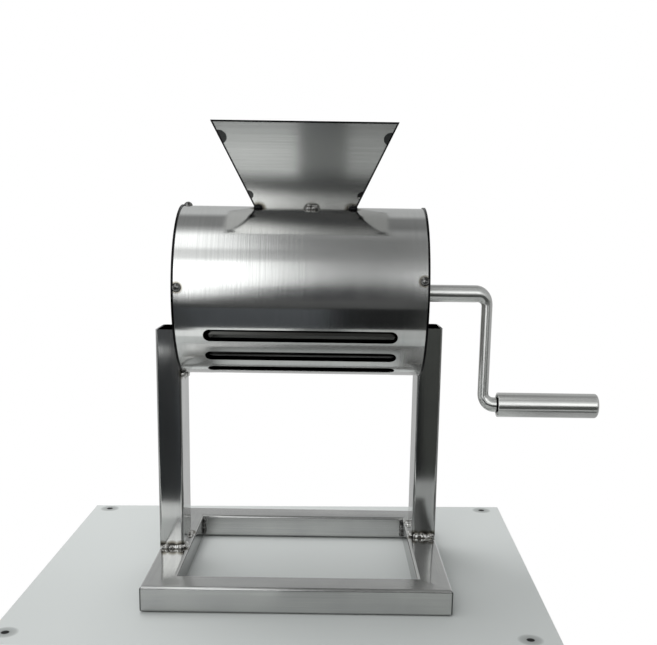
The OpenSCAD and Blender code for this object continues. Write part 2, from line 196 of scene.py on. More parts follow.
def smooth_piece(node, material):
    """A copy of a CAD node with its triangles joined and its round faces shaded as round."""
    mesh = frame["nodes"][node].data.copy()
    shape = bmesh.new()
    shape.from_mesh(mesh)
    bmesh.ops.remove_doubles(shape, verts=shape.verts, dist=1e-6)
    shape.to_mesh(mesh)
    shape.free()
    mesh.shade_smooth()
    mesh.set_sharp_from_angle(angle=math.radians(32))
    mesh.materials.clear()
    mesh.materials.append(material)
    piece = put_in_scene(node + "_finished", mesh)
    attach(piece, body_of(node))
    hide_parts(node)


left_foot, right_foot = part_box("left_upright"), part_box("right_upright")
foot_burn = 0.0085
foot_heat = []
for low, high in (left_foot, right_foot):
    for share in (0.1, 0.5, 0.9):
        x = low.x + share * (high.x - low.x)
        foot_heat += [((x, y, low.z), foot_burn) for y in (low.y - 0.001, high.y + 0.001)]
# streaks about 1 mm wide, coarser than the real grain so that they show
streak_length, streak_width = 0.16, 0.0011
rail_along_x = satin_stainless("satin_tube_along_x", (streak_length, streak_width, streak_width), rough=(0.18, 0.23),
                               across=scratched_along(1, 0, 0), smear=0.8)
rail_along_y = satin_stainless("satin_tube_along_y", (streak_width, streak_length, streak_width), rough=(0.09, 0.13),
                               heat=foot_heat, across=scratched_along(0, 1, 0), smear=0.3)
rail_low, rail_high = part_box("front_rail")
rail_top = rail_high.z
inner_x0, inner_x1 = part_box("left_rail")[1].x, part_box("right_rail")[0].x
inner_middle, inner_half = 0.5 * (inner_x0 + inner_x1), 0.5 * (inner_x1 - inner_x0)


def painted_edge_shade(tree, place):
    """Near 1 on a rail's lower corner and its mitred ends, where a dark line of painted shade is laid, and 0
    elsewhere.
    """
    half = from_the_middle(tree, place, "X", 0.5 * (rail_low.x + rail_high.x))
    short = add(tree, "ShaderNodeMath", {0: 0.5 * (rail_high.x - rail_low.x), 1: half}, operation="SUBTRACT")
    up = add(tree, "ShaderNodeSeparateXYZ", {"Vector": place}).outputs["Z"]
    least = add(tree, "ShaderNodeMath", {0: short.outputs[0], 1: up}, operation="MINIMUM")
    return add(tree, "ShaderNodeMapRange", {
        "Value": least.outputs[0], "From Min": 0.0016, "From Max": 0.0008, "To Max": 0.85,
    }).outputs[0]


def painted_inner_face_shade(tree, place):
    """Most of 1 on the side rails' faces that look into the frame, darkened there as painted shade, and 0 elsewhere.
    """
    return add(tree, "ShaderNodeMapRange", {
        "Value": from_the_middle(tree, place, "X", inner_middle),
        "From Min": inner_half + 0.0008, "From Max": inner_half + 0.0002, "To Max": 0.7,
    }).outputs[0]


# painted shade: a dark line along the rails' lower corner and mitred ends
darken(rail_along_x, painted_edge_shade, "#242424")
# painted shade on the side rails' faces that look into the frame
darken(rail_along_y, painted_inner_face_shade, "#1e1e1e")
for node in ("front_rail", "rear_rail"):
    smooth_piece(node, rail_along_x)
for node in ("left_rail", "right_rail"):
    smooth_piece(node, rail_along_y)

# CORNER BEADS OF THE BASE
# Short upright runs of weld in the four inside corners, laid by hand and left as welded.
# They show as a row of shallow overlapping ripples, darkened all over, partly as the weld's own dull tone and partly
# as painted shade of the inside corners.

weld_metal, tree = bare_material("stainless_weld_as_laid")
place = add(tree, "ShaderNodeTexCoord").outputs["Object"]
scale_3mm = add(tree, "ShaderNodeTexNoise", {"Vector": place, "Scale": 1 / 0.003, "Detail": 3.0, "Roughness": 0.6})
burn = add(tree, "ShaderNodeValToRGB", {"Fac": scale_3mm.outputs["Fac"]})
burn.color_ramp.elements[0].position, burn.color_ramp.elements[0].color = 0.35, linear("#4c4c4b")
burn.color_ramp.elements[1].position, burn.color_ramp.elements[1].color = 0.54, linear("#e8e7e5")
straw = burn.color_ramp.elements.new(0.45)
straw.color = linear("#a09d99")
rough_weld = add(tree, "ShaderNodeMapRange", {
    "Value": scale_3mm.outputs["Fac"], "From Min": 0.3, "From Max": 0.7, "To Min": 0.36, "To Max": 0.14,
})
ripple = add(tree, "ShaderNodeBump", {"Height": scale_3mm.outputs["Fac"], "Strength": 0.35, "Distance": 0.0006})
shader = add(tree, "ShaderNodeBsdfPrincipled", {
    "Base Color": burn.outputs["Color"], "Metallic": 1.0, "Roughness": rough_weld.outputs[0],
    "Normal": ripple.outputs[0],
})
add(tree, "ShaderNodeOutputMaterial", {"Surface": shader.outputs[0]})

bead_tree = bpy.data.node_groups.new("weld_bead_run", "GeometryNodeTree")
for label, kind in (("Start", "NodeSocketVector"), ("End", "NodeSocketVector"), ("Ripples", "NodeSocketInt"),
                    ("Radius", "NodeSocketFloat"), ("Unevenness", "NodeSocketFloat"), ("Seed", "NodeSocketInt"),
                    ("Metal", "NodeSocketMaterial")):
    bead_tree.interface.new_socket(label, in_out="INPUT", socket_type=kind)
bead_tree.interface.new_socket("Bead", in_out="OUTPUT", socket_type="NodeSocketGeometry")
given = add(bead_tree, "NodeGroupInput").outputs
line = add(bead_tree, "GeometryNodeMeshLine", {
    "Count": given["Ripples"], "Start Location": given["Start"], "Offset": given["End"],
}, mode="END_POINTS")
blob = add(bead_tree, "GeometryNodeMeshIcoSphere", {"Radius": given["Radius"], "Subdivisions": 4})
least = add(bead_tree, "ShaderNodeMath", {0: 1.0, 1: given["Unevenness"]}, operation="SUBTRACT")
most = add(bead_tree, "ShaderNodeMath", {0: 1.0, 1: given["Unevenness"]}, operation="ADD")
size = add(bead_tree, "FunctionNodeRandomValue", {
    2: least.outputs[0], 3: most.outputs[0], "Seed": given["Seed"],
}, data_type="FLOAT")
wander = add(bead_tree, "ShaderNodeMath", {0: given["Radius"], 1: given["Unevenness"]}, operation="MULTIPLY")
back = add(bead_tree, "ShaderNodeMath", {0: wander.outputs[0], 1: -1.0}, operation="MULTIPLY")
shift = add(bead_tree, "FunctionNodeRandomValue", {
    0: back.outputs[0], 1: wander.outputs[0], "Seed": given["Seed"],
}, data_type="FLOAT_VECTOR")
spread = add(bead_tree, "GeometryNodeSetPosition", {"Geometry": line.outputs[0], "Offset": shift.outputs[0]})
row = add(bead_tree, "GeometryNodeInstanceOnPoints", {
    "Points": spread.outputs[0], "Instance": blob.outputs[0], "Scale": size.outputs[1],
})
solid = add(bead_tree, "GeometryNodeRealizeInstances", {"Geometry": row.outputs[0]})
round_off = add(bead_tree, "GeometryNodeSetShadeSmooth", {"Geometry": solid.outputs[0]})
clad = add(bead_tree, "GeometryNodeSetMaterial", {"Geometry": round_off.outputs[0], "Material": given["Metal"]})
add(bead_tree, "NodeGroupOutput", {"Bead": clad.outputs[0]})


def weld_piece(name, node, runs, metal=weld_metal):
    """Joins bead runs (start, end, ripples, radius, unevenness) into one piece that stands for a weld node."""
    shape = bmesh.new()
    for number, (start, end, ripples, radius, uneven) in enumerate(runs):
        holder = put_in_scene("bead", bpy.data.meshes.new("bead"))
        modifier = holder.modifiers.new("bead", "NODES")
        modifier.node_group = bead_tree
        values = {"Start": start, "End": end, "Ripples": ripples, "Radius": radius, "Unevenness": uneven,
                  "Seed": number + len(name), "Metal": metal}
        for item in bead_tree.interface.items_tree:
            if item.in_out == "INPUT":
                modifier[item.identifier] = values[item.name]
        seen = holder.evaluated_get(bpy.context.evaluated_depsgraph_get())
        made = bpy.data.meshes.new_from_object(seen)
        shape.from_mesh(made)
        bpy.data.objects.remove(holder)
        bpy.data.meshes.remove(made)
    mesh = bpy.data.meshes.new(name)
    shape.to_mesh(mesh)
    shape.free()
    mesh.shade_smooth()
    mesh.materials.append(metal)
    piece = put_in_scene(name, mesh)
    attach(piece, body_of(node))
    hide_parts(node)


corner_in, corner_r, bead_foot, bead_top = 0.0008, 0.0021, 0.005, rail_top - 0.004
runs = []
for x in (inner_x0, inner_x1):
    for y in (rail_high.y, -rail_high.y):
        bead_x, bead_y = x + math.copysign(corner_in, inner_middle - x), y - math.copysign(corner_in, y)
        runs.append(((bead_x, bead_y, bead_foot), (bead_x, bead_y, bead_top), 16, corner_r, 0.16))
darkened_weld = weld_metal.copy()
darkened_weld.name = "stainless_weld_darkened"
# darkened all over: a dull weld on the drum's tacks, and also painted shade of the inside corners on the base's
# corner beads
darken(darkened_weld, lambda tree, place: 0.72, "#3a3a3b")
weld_piece("base_corner_beads", "base_corner_welds", runs, darkened_weld)

# UPRIGHTS
# Two lengths of 50 x 25 mm tube stood on the side rails, sawn square and left open at the top.
# The satin grain runs up the tube, and the foot is darkened by the heat of the weld.

drum_low, drum_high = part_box("drum_shell")
axis = (drum_low + drum_high) / 2
plate_out = 0.083
# each upright's lowest and highest corner, the x of its inner face, and the way from that face to the drum
posts = ((*left_foot, left_foot[1].x, 1), (*right_foot, right_foot[0].x, -1))
# where a plate's rim meets the inner face of an upright
rim_touches = []
for low, high, inner, side in posts:
    for share in (0.12, 0.5, 0.88):
        y = low.y + share * (high.y - low.y)
        rim_touches.append((inner, y, axis.z - math.sqrt(plate_out ** 2 - (y - axis.y) ** 2), side))
rim_burn = 0.008
rim_heat = [((x, y, z), rim_burn) for x, y, z, side in rim_touches]
upright_steel = satin_stainless("satin_tube_upright", (streak_width, streak_width, 0.18), rough=(0.09, 0.13),
                                heat=foot_heat + rim_heat, across=scratched_along(0, 0, 1), smear=0.3)
tube_wall = 0.0015


def over_the_sides(tree, place, low, high):
    """How far a place stands out past a tube's two pairs of outer faces; 0 on a face, and less than 0 inside it."""
    off = add(tree, "ShaderNodeVectorMath", {0: place, 1: (low + high) / 2}, operation="SUBTRACT")
    away = add(tree, "ShaderNodeVectorMath", {0: off.outputs[0]}, operation="ABSOLUTE")
    part = add(tree, "ShaderNodeSeparateXYZ", {"Vector": away.outputs[0]}).outputs
    over_x = add(tree, "ShaderNodeMath", {0: part["X"], 1: 0.5 * (high.x - low.x)}, operation="SUBTRACT")
    over_y = add(tree, "ShaderNodeMath", {0: part["Y"], 1: 0.5 * (high.y - low.y)}, operation="SUBTRACT")
    return over_x.outputs[0], over_y.outputs[0]


def on_either_tube(mask):
    """The greater of what a mask gives for the left and for the right tube."""
    def found(tree, place):
        left, right = (mask(tree, *over_the_sides(tree, place, low, high)) for low, high in (left_foot, right_foot))
        return add(tree, "ShaderNodeMath", {0: left, 1: right}, operation="MAXIMUM").outputs[0]
    return found


def painted_bore_shade(tree, over_x, over_y):
    """1 on the faces inside a tube, darkened as painted shade in the open bore, and 0 outside."""
    most = add(tree, "ShaderNodeMath", {0: over_x, 1: over_y}, operation="MAXIMUM")
    bore = {0: most.outputs[0], 1: 0.0002 - tube_wall}
    return add(tree, "ShaderNodeMath", bore, operation="LESS_THAN").outputs[0]


def painted_arris_shade(tree, over_x, over_y):
    """Most of 1 along the four long corners of a tube, where a dark line of painted shade is laid, and 0 on the flats
    and off the tube.
    """
    most = add(tree, "ShaderNodeMath", {0: over_x, 1: over_y}, operation="MAXIMUM")
    on_it = add(tree, "ShaderNodeMath", {0: most.outputs[0], 1: 0.0005}, operation="LESS_THAN")
    least = add(tree, "ShaderNodeMath", {0: over_x, 1: over_y}, operation="MINIMUM")
    edge = add(tree, "ShaderNodeMapRange", {
        "Value": least.outputs[0], "From Min": -0.0016, "From Max": -0.0008, "To Max": 0.75,
    })
    return add(tree, "ShaderNodeMath", {0: edge.outputs[0], 1: on_it.outputs[0]}, operation="MULTIPLY").outputs[0]


# painted shade: a dark line down each long corner of the uprights
darken(upright_steel, on_either_tube(painted_arris_shade), "#2a2a2a")
# painted shade inside the uprights' open tops
darken(upright_steel, on_either_tube(painted_bore_shade), "#161616")
for node in ("left_upright", "right_upright"):
    smooth_piece(node, upright_steel)

# FOOT BEADS
# A bead across the front and back of each foot and a short return on its inner side.
# They are laid by hand, so the ripples differ in size and the run wanders.

across_r, across_z, across_off = 0.0033, rail_top + 0.0006, 0.0008
return_r, return_z, return_off = 0.0026, rail_top + 0.0005, 0.0006
runs = []
for low, high, inner, side in posts:
    for y in (low.y - across_off, high.y + across_off):
        runs.append(((low.x + 0.0038, y, across_z), (high.x - 0.0036, y, across_z), 15, across_r, 0.2))
    x = inner + side * return_off
    for start, end, ripples in ((low.y + 0.002, low.y + 0.012, 8), (high.y - 0.010, high.y - 0.003, 6)):
        runs.append(((x, start, return_z), (x, end, return_z), ripples, return_r, 0.2))
weld_piece("upright_foot_beads", "upright_foot_welds", runs)

# DRUM SHELL
# 1.5 mm stainless sheet rolled to 164 mm, with four long round-ended slots punched below its front
# and a rectangular feed opening at the top. Belt finishing left fine streaks round the drum.

shell_out, shell_wall = 0.082, 0.0015
slot_length, slot_width, slot_count = 0.181, 0.013, 4
slot_first, slot_step = math.radians(27), math.radians(18)
x0, x1 = drum_low.x, drum_high.x
columns, rows, arc_steps, seam_steps = 160, 30, 16, 8
around = 2 * math.pi * shell_out
slot_r, slot_straight = 0.5 * slot_width, 0.5 * (slot_length - slot_width)


def slot_middle(number):
    """Distance round the unrolled shell, from its top over the rear, to the middle of a slot."""
    return shell_out * (1.5 * math.pi - slot_first - number * slot_step)


loops = []
for i in range(slot_count):
    ring = []
    for end in (1, -1):
        for k in range(arc_steps + 1):
            turn = -math.pi / 2 + math.pi * k / arc_steps
            ring.append((slot_middle(i) + end * slot_r * math.sin(turn),
                         axis.x + end * (slot_straight + slot_r * math.cos(turn))))
    loops.append(ring)
hopper_low, hopper_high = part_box("hopper_front_panel")
hopper_x = 0.5 * (hopper_low.x + hopper_high.x)
throat_w, throat_d, side_lean, front_lean, hopper_h = 0.097, 0.036, 0.036, 0.050, 0.075
feed_in = 0.002
feed_half_x = 0.5 * throat_w - feed_in
feed_s = shell_out * math.asin((0.5 * throat_d - feed_in) / shell_out)
feed_x0, feed_x1 = hopper_x - feed_half_x, hopper_x + feed_half_x
left_seam, right_seam = feed_x0 - x0, x1 - hopper_x - feed_half_x
# the sheet is cut open along the top, so the feed opening is a notch in both of its edges
sheet = [(feed_s, feed_x0), (0.0, feed_x0)]
sheet += [(0.0, feed_x0 - left_seam * i / seam_steps) for i in range(1, seam_steps + 1)]
sheet += [(around * i / columns, x0) for i in range(1, columns)]
sheet += [(around, x0 + left_seam * i / seam_steps) for i in range(seam_steps + 1)]
sheet += [(around - feed_s, feed_x0), (around - feed_s, feed_x1)]
sheet += [(around, feed_x1 + right_seam * i / seam_steps) for i in range(seam_steps + 1)]
sheet += [(around * (columns - i) / columns, x1) for i in range(1, columns)]
sheet += [(0.0, x1 - right_seam * i / seam_steps) for i in range(seam_steps + 1)]
sheet += [(feed_s, feed_x1)]
points, edges = [], []
for ring in [sheet] + loops:
    first = len(points)
    points += [Vector(p) for p in ring]
    edges += [(first + i, first + (i + 1) % len(ring)) for i in range(len(ring))]
for i in range(1, columns):
    for j in range(1, rows):
        points.append(Vector((around * i / columns, x0 + (x1 - x0) * j / rows)))
flat, _, faces, _, _, _ = delaunay_2d_cdt(points, edges, [], 1, 1e-7)


def in_a_slot(face):
    """True where the middle of a triangle falls inside one of the slots."""
    s = sum(flat[i][0] for i in face) / 3
    x = abs(sum(flat[i][1] for i in face) / 3 - axis.x)
    off = min(abs(s - slot_middle(i)) for i in range(slot_count))
    return math.hypot(off, max(0.0, x - slot_straight)) < slot_r


faces = [face for face in faces if not in_a_slot(face)]
shape = bmesh.new()
outer, inner = [], []
for p in flat:
    turn = p[0] / shell_out
    radial = Vector((0.0, math.sin(turn), math.cos(turn)))
    spot = Vector((p[1], axis.y, axis.z))
    outer.append(shape.verts.new(spot + radial * shell_out))
    inner.append(shape.verts.new(spot + radial * (shell_out - shell_wall)))
# an edge that only one triangle uses is a cut edge, and gets a wall; the closed seam along the top gets none
uses = {}
for face in faces:
    shape.faces.new([outer[i] for i in face])
    shape.faces.new([inner[i] for i in reversed(face)])
    for i in range(len(face)):
        a, b = face[i], face[(i + 1) % len(face)]
        uses.setdefault((min(a, b), max(a, b)), []).append((a, b))
for pairs in uses.values():
    if len(pairs) == 1:
        a, b = pairs[0]
        on_cut = all(p[0] < 1e-6 or p[0] > around - 1e-6 for p in (flat[a], flat[b]))
        if not on_cut:
            shape.faces.new([outer[b], outer[a], inner[a], inner[b]])
bmesh.ops.remove_doubles(shape, verts=shape.verts, dist=1e-6)
bmesh.ops.recalc_face_normals(shape, faces=shape.faces)
shell_mesh = bpy.data.meshes.new("drum_shell_rolled")
shape.to_mesh(shell_mesh)
shape.free()
shell_mesh.shade_smooth()
# the rolled faces are shaded as a true cylinder, and the cut edges as flat
normals = []
for polygon in shell_mesh.polygons:
    for corner in polygon.vertices:
        spot = shell_mesh.vertices[corner].co
        radial = Vector((0.0, spot.y - axis.y, spot.z - axis.z)).normalized()
        level = polygon.normal.dot(radial)
        normals.append(radial if level > 0.9 else -radial if level < -0.9 else polygon.normal.copy())
shell_mesh.normals_split_custom_set(normals)
tack_in = 0.003
tack_places = [(x0 + tack_in, -90), (x0 + tack_in, -5), (x0 + tack_in, 175), (x1 - tack_in, -11), (x1 - tack_in, 169)]


def on_the_drum(x, degrees, radius):
    """The place at a radius and at an angle below the front of the drum."""
    turn = math.radians(degrees)
    return Vector((x, axis.y - radius * math.cos(turn), axis.z - radius * math.sin(turn)))


tack_burn, bead_burn = 0.0068, 0.009
tack_heat = [(on_the_drum(x, degrees, shell_out), tack_burn) for x, degrees in tack_places]
hopper_foot_y = axis.y - 0.5 * throat_d
hopper_foot_z = axis.z + math.sqrt(shell_out ** 2 - (0.5 * throat_d) ** 2)
# the x, the radius and the length of each bead at the hopper's foot
foot_tacks = [(hopper_x + 0.006, 0.0046, 0.016), (hopper_x - 0.5 * throat_w + 0.003, 0.003, 0.009),
              (hopper_x + 0.5 * throat_w - 0.003, 0.003, 0.009)]
for x, radius, length in foot_tacks:
    for y in (hopper_foot_y, 2 * axis.y - hopper_foot_y):
        tack_heat.append(((x, y, hopper_foot_z), bead_burn))


def scratched_round(x, y, z):
    """Scratches that run round an axis: the smear runs along it."""
    def across(tree, place):
        return add(tree, "ShaderNodeCombineXYZ", {"X": x, "Y": y, "Z": z}).outputs[0]
    return across


drum_steel = satin_stainless("belt_finished_drum_sheet", (0.0009, 0.12, 0.12), "#e4e4e3", "#d6d6d5", (0.11, 0.15),
                             tack_heat, tooth=0.08, across=scratched_round(1, 0, 0), smear=0.45)


def from_the_axis(tree, place):
    """How far a place lies from the drum's axis."""
    spoke = add(tree, "ShaderNodeVectorMath", {0: place, 1: axis}, operation="SUBTRACT")
    level = add(tree, "ShaderNodeVectorMath", {0: spoke.outputs[0], 1: (0.0, 1.0, 1.0)}, operation="MULTIPLY")
    return add(tree, "ShaderNodeVectorMath", {0: level.outputs[0]}, operation="LENGTH").outputs["Value"]


def painted_shade_in_shell(tree, place):
    """1 on the bore and the punched edges of the sheet, darkened as painted shade, and 0 on its outer face."""
    bore = {0: from_the_axis(tree, place), 1: shell_out - 0.0004}
    return add(tree, "ShaderNodeMath", bore, operation="LESS_THAN").outputs[0]


# painted shade inside the drum and on the slots' punched edges
darken(drum_steel, painted_shade_in_shell, "#2a2927")
shell_mesh.materials.append(drum_steel)
shell = put_in_scene("drum_shell_rolled", shell_mesh)
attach(shell, "frame")
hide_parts("drum_shell")

# END PLATES
# Two 2 mm discs laser cut from sheet, a millimetre bigger than the shell all round and tacked to it.
# The faces keep the mill's straight grain; the cut rims are dark.

plate_steel = satin_stainless("cut_sheet_end_plate", (0.02, 0.20, 0.0012), "#c4c4c2", "#a3a3a0", (0.26, 0.38))


def cut_rim(tree, place):
    """1 on the rim of a plate, outside the shell, and 0 on its face."""
    return add(tree, "ShaderNodeMapRange", {
        "Value": from_the_axis(tree, place), "From Min": shell_out - 0.0002, "From Max": shell_out + 0.0002,
    }).outputs[0]


darken(plate_steel, cut_rim, "#1d1d1e")
for node in ("left_end_plate", "right_end_plate"):
    smooth_piece(node, plate_steel)

# TACKS ON THE DRUM
# Domed tacks hold the shell to its end plates, each a single puddle with a smooth crown.
# Short beads hold the plates' rims to the uprights.

tack_sunk, tack_r = 0.0006, 0.0043
runs = []
for x, degrees in tack_places:
    spot = on_the_drum(x, degrees, shell_out - tack_sunk)
    runs.append((spot, spot + Vector((0.0002, 0, 0)), 2, tack_r, 0.01))
weld_piece("drum_tacks", "drum_tack_welds", runs, darkened_weld)
rim_off, rim_half, rim_r = 0.0012, 0.003, 0.0026
runs = []
for x, y, z, side in rim_touches:
    bead_x, bead_z = x + side * rim_off, z - rim_off
    runs.append(((bead_x, y - rim_half, bead_z), (bead_x, y + rim_half, bead_z), 6, rim_r, 0.2))
weld_piece("rim_beads", "drum_upright_welds", runs)

# HOPPER
# Four flat panels of thin bright sheet, cut to a taper, stood together as a funnel and tacked inside.
# Each inside tack left a dull half-round burn on the outer face.

burn_shades = ((0.78, "#5a5b5c"), (0.86, "#636465"), (0.93, "#ffffff"))


def on_a_seam(share, sx, sy, inward=0.0):
    """The place on one of the four seams at a share of the hopper's height, or some way in from it."""
    return Vector((hopper_x + sx * (0.5 * throat_w + side_lean * share - inward),
                   axis.y + sy * (0.5 * throat_d + front_lean * share - inward),
                   hopper_foot_z + hopper_h * share))


low_share, high_share, low_burn, high_burn = 0.16, 0.82, 0.0058, 0.0075
seam_tacks = [(share, sx, sy) for share in (low_share, high_share) for sx in (-1, 1) for sy in (-1, 1)]
hopper_heat = [(on_a_seam(share, sx, sy), high_burn if share == high_share else low_burn)
               for share, sx, sy in seam_tacks]


def cut_edges(letter, middle, throat, lean):
    """Finds a panel's two slanting cut edges and its rim: letter is the axis that the panel's width runs along."""
    def near_an_edge(tree, place):
        off = from_the_middle(tree, place, letter, middle)
        height = add(tree, "ShaderNodeSeparateXYZ", {"Vector": place}).outputs["Z"]
        up = add(tree, "ShaderNodeMath", {0: height, 1: hopper_foot_z}, operation="SUBTRACT").outputs[0]
        half = add(tree, "ShaderNodeMath", {0: up, 1: lean / hopper_h, 2: 0.5 * throat}, operation="MULTIPLY_ADD")
        inside = add(tree, "ShaderNodeMath", {0: half.outputs[0], 1: off}, operation="SUBTRACT")
        thin = add(tree, "ShaderNodeMath", {0: inside.outputs[0], 1: 0.6}, operation="MULTIPLY")
        below = add(tree, "ShaderNodeMath", {0: hopper_h, 1: up}, operation="SUBTRACT")
        least = add(tree, "ShaderNodeMath", {0: thin.outputs[0], 1: below.outputs[0]}, operation="MINIMUM")
        return add(tree, "ShaderNodeMapRange", {
            "Value": least.outputs[0], "From Min": 0.0013, "From Max": 0.0007,
        }).outputs[0]
    return near_an_edge


for panels, grain, follow, edges in (
    (("front", "rear"), (0.15, 0.0015, 0.0015), scratched_along(1, 0, 0),
     cut_edges("X", hopper_x, throat_w, side_lean)),
    (("left", "right"), (0.0015, 0.15, 0.0015), scratched_along(0, 1, 0),
     cut_edges("Y", axis.y, throat_d, front_lean)),
):
    hopper_steel = satin_stainless("bright_hopper_sheet_" + panels[0], grain, "#d8d8d6", "#d0d0ce", (0.15, 0.19),
                                   hopper_heat, burn_shades, 0.01, across=follow)
    darken(hopper_steel, edges, "#19191a")
    for side in panels:
        panel = frame["nodes"]["hopper_" + side + "_panel"].data
        panel.materials.clear()
        panel.materials.append(hopper_steel)

# HOPPER TACKS
# Small puddles of weld inside the seams, and three beads across the foot of the front and of the rear panel.
# They fix the panels to each other and the hopper to the drum, and the beads at the corners were burnt black.

seam_in, seam_r = 0.0032, 0.0022
runs = []
for share, sx, sy in seam_tacks:
    spot = on_a_seam(share, sx, sy, seam_in)
    runs.append((spot, spot + Vector((0.0005, 0, 0.001)), 2, seam_r, 0.15))
weld_piece("hopper_inside_tacks", "hopper_seam_tacks", runs)
bead_off, bead_lift = 0.0186, 0.0004
runs = []
for x, radius, length in foot_tacks:
    for sy in (-1, 1):
        y, z = axis.y + sy * bead_off, hopper_foot_z + bead_lift
        half = 0.5 * length - radius
        runs.append(((x - half, y, z), (x + half, y, z), 7, radius * 0.97, 0.05))
foot_metal = weld_metal.copy()
foot_metal.name = "stainless_weld_scorched_at_corners"


def at_the_corners(tree, place):
    """1 on the corner beads, which were burnt black, and two thirds on the middle one."""
    return add(tree, "ShaderNodeMapRange", {
        "Value": from_the_middle(tree, place, "X", hopper_x), "From Min": 0.032, "From Max": 0.038, "To Min": 0.68,
    }).outputs[0]


darken(foot_metal, at_the_corners, "#1f1f20")
weld_piece("hopper_foot_beads", "hopper_foot_welds", runs, foot_metal)

# BUSHES, COLLARS AND ROTOR
# Bronze bushes in the end plates carry the shaft; inside, two spiders carry a tube with six rubbing bars on it.
# The polished tube shows through the slots as a bright line, and the bushes show from the sides.

bronze = satin_stainless("turned_bronze_bush", (0.02, 0.0012, 0.0012), "#b39a63", "#94794a", (0.28, 0.4))
rotor_steel = satin_stainless("drawn_round_bar", (0.12, 0.0012, 0.0012), "#5e5e5d", "#484847", (0.14, 0.22))
for node in ("left_bush", "right_bush"):
    smooth_piece(node, bronze)
tube_steel = satin_stainless("polished_rotor_tube", (0.12, 0.0012, 0.0012), "#727270", "#6a6a68", (0.06, 0.1),
                             tooth=0.01)
smooth_piece("rotor_tube", tube_steel)
for node in ("left_spider", "right_spider", "rubbing_bars", "left_collar", "right_collar"):
    smooth_piece(node, rotor_steel)
screw_steel = satin_stainless("plain_set_screw", (0.002, 0.002, 0.002), "#77777a", "#5c5c60", (0.34, 0.5))
for node in ("collar_screws", "grip_screw", "grip_washer", "grip_stop_ring"):
    smooth_piece(node, screw_steel)

# CRANK ROD
# One round bar, 17 mm at the shaft, drawn down through a tight bend to an 11 mm arm, and 15 mm under the grip.
# It was polished with emery cloth pulled round it.

crank_low, crank_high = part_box("crank_shaft")
spindle_low, spindle_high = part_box("grip_stop_ring")
spindle_z = 0.5 * (spindle_low.z + spindle_high.z)
shaft_r, arm_r, spindle_r = 0.0085, 0.0055, 0.0075
bend, bend_steps, ring_sides = 0.012, 16, 48
arm_reach = 0.184
arm_x = axis.x + arm_reach
outward, down = Vector((1, 0, 0)), Vector((0, 0, -1))
shaft_start, shaft_end = Vector((crank_low.x, axis.y, axis.z)), Vector((arm_x - bend, axis.y, axis.z))
arm_start, arm_end = Vector((arm_x, axis.y, axis.z - bend)), Vector((arm_x, axis.y, spindle_z + bend))
spindle_start, spindle_end = Vector((arm_x + bend, axis.y, spindle_z)), Vector((crank_high.x, axis.y, spindle_z))


def straight_run(start, end, steps, ahead, radius):
    """Stations (place, direction, radius) along a straight part of the rod, its start left out."""
    return [(start.lerp(end, i / steps), ahead, radius) for i in range(1, steps + 1)]


def quarter_bend(start, ahead, aside, radius, end_radius):
    """Stations round a bend from one direction to another, as the rod is drawn from one radius to the next."""
    found = []
    for i in range(1, bend_steps + 1):
        share = i / bend_steps
        turn = math.pi / 2 * share
        spot = start + bend * (math.sin(turn) * ahead + (1 - math.cos(turn)) * aside)
        ease = share * share * (3 - 2 * share)
        found.append((spot, math.cos(turn) * ahead + math.sin(turn) * aside, radius + (end_radius - radius) * ease))
    return found


stations = [(shaft_start, outward, shaft_r)]
stations += straight_run(shaft_start, shaft_end, 12, outward, shaft_r)
stations += quarter_bend(shaft_end, outward, down, shaft_r, arm_r)
stations += straight_run(arm_start, arm_end, 12, down, arm_r)
stations += quarter_bend(arm_end, down, outward, arm_r, spindle_r)
stations += straight_run(spindle_start, spindle_end, 8, outward, spindle_r)
shape = bmesh.new()
rings = []
for spot, along, radius in stations:
    side = Vector((0, 1, 0))
    up = side.cross(along).normalized()
    ring = []
    for k in range(ring_sides):
        turn = 2 * math.pi * k / ring_sides
        ring.append(shape.verts.new(spot + radius * (math.cos(turn) * side + math.sin(turn) * up)))
    rings.append(ring)
for a, b in zip(rings, rings[1:]):
    for k in range(ring_sides):
        after = (k + 1) % ring_sides
        shape.faces.new((a[k], a[after], b[after], b[k]))
shape.faces.new(list(reversed(rings[0])))
shape.faces.new(rings[-1])
bmesh.ops.recalc_face_normals(shape, faces=shape.faces)
rod_mesh = bpy.data.meshes.new("crank_rod_bent")
shape.to_mesh(rod_mesh)
shape.free()
rod_mesh.shade_smooth()
rod_mesh.set_sharp_from_angle(angle=math.radians(40))


def round_the_rod(tree, place):
    """The emery scratches run round the rod, so the smear runs along it: level at both ends, upright on the arm."""
    height = add(tree, "ShaderNodeSeparateXYZ", {"Vector": place}).outputs["Z"]
    under = add(tree, "ShaderNodeMapRange", {
        "Value": height, "From Min": axis.z - 0.3 * bend, "From Max": axis.z - bend,
    })
    over = add(tree, "ShaderNodeMapRange", {
        "Value": height, "From Min": spindle_z + 0.3 * bend, "From Max": spindle_z + bend,
    })
    arm = add(tree, "ShaderNodeMath", {0: under.outputs[0], 1: over.outputs[0]}, operation="MULTIPLY")
    ends = add(tree, "ShaderNodeMath", {0: 1.0, 1: arm.outputs[0]}, operation="SUBTRACT")
    return add(tree, "ShaderNodeCombineXYZ", {"X": ends.outputs[0], "Z": arm.outputs[0]}).outputs[0]


rod_steel = satin_stainless("emery_polished_round_bar", (0.05, 0.05, 0.05), "#e8e8e6", "#dededc", (0.22, 0.26),
                            tooth=0.01, across=round_the_rod, smear=0.9)
mouth_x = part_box("grip_sleeve")[0].x


